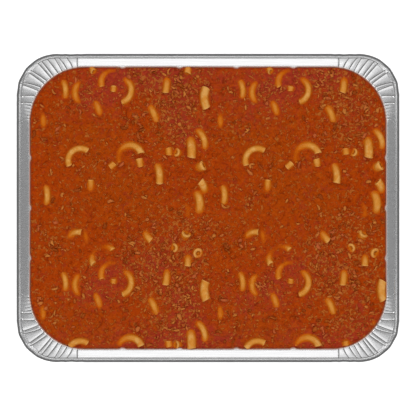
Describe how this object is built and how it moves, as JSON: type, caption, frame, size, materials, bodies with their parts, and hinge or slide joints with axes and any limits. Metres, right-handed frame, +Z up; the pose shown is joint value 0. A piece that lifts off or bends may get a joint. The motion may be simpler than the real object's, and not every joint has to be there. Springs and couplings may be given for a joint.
{
  "type": "foil tray meal",
  "caption": "Elbow macaroni with minced beef in tomato sauce, level with the rim of a rectangular aluminium foil tray with pleated corners.",
  "frame": {"origin": "on the underside of the tray's floor, at the middle of the tray's length and width", "axes": "+X along the tray's long side, +Y along its short side, +Z up out of the tray"},
  "size_m": [0.324, 0.261, 0.0438],
  "materials": {
    "foil": "bright",
    "food": "moist"
  },
  "bodies": {
    "root": {"foil_tray": "foil", "macaroni_and_beef": "food"}
  },
  "joints": []
}
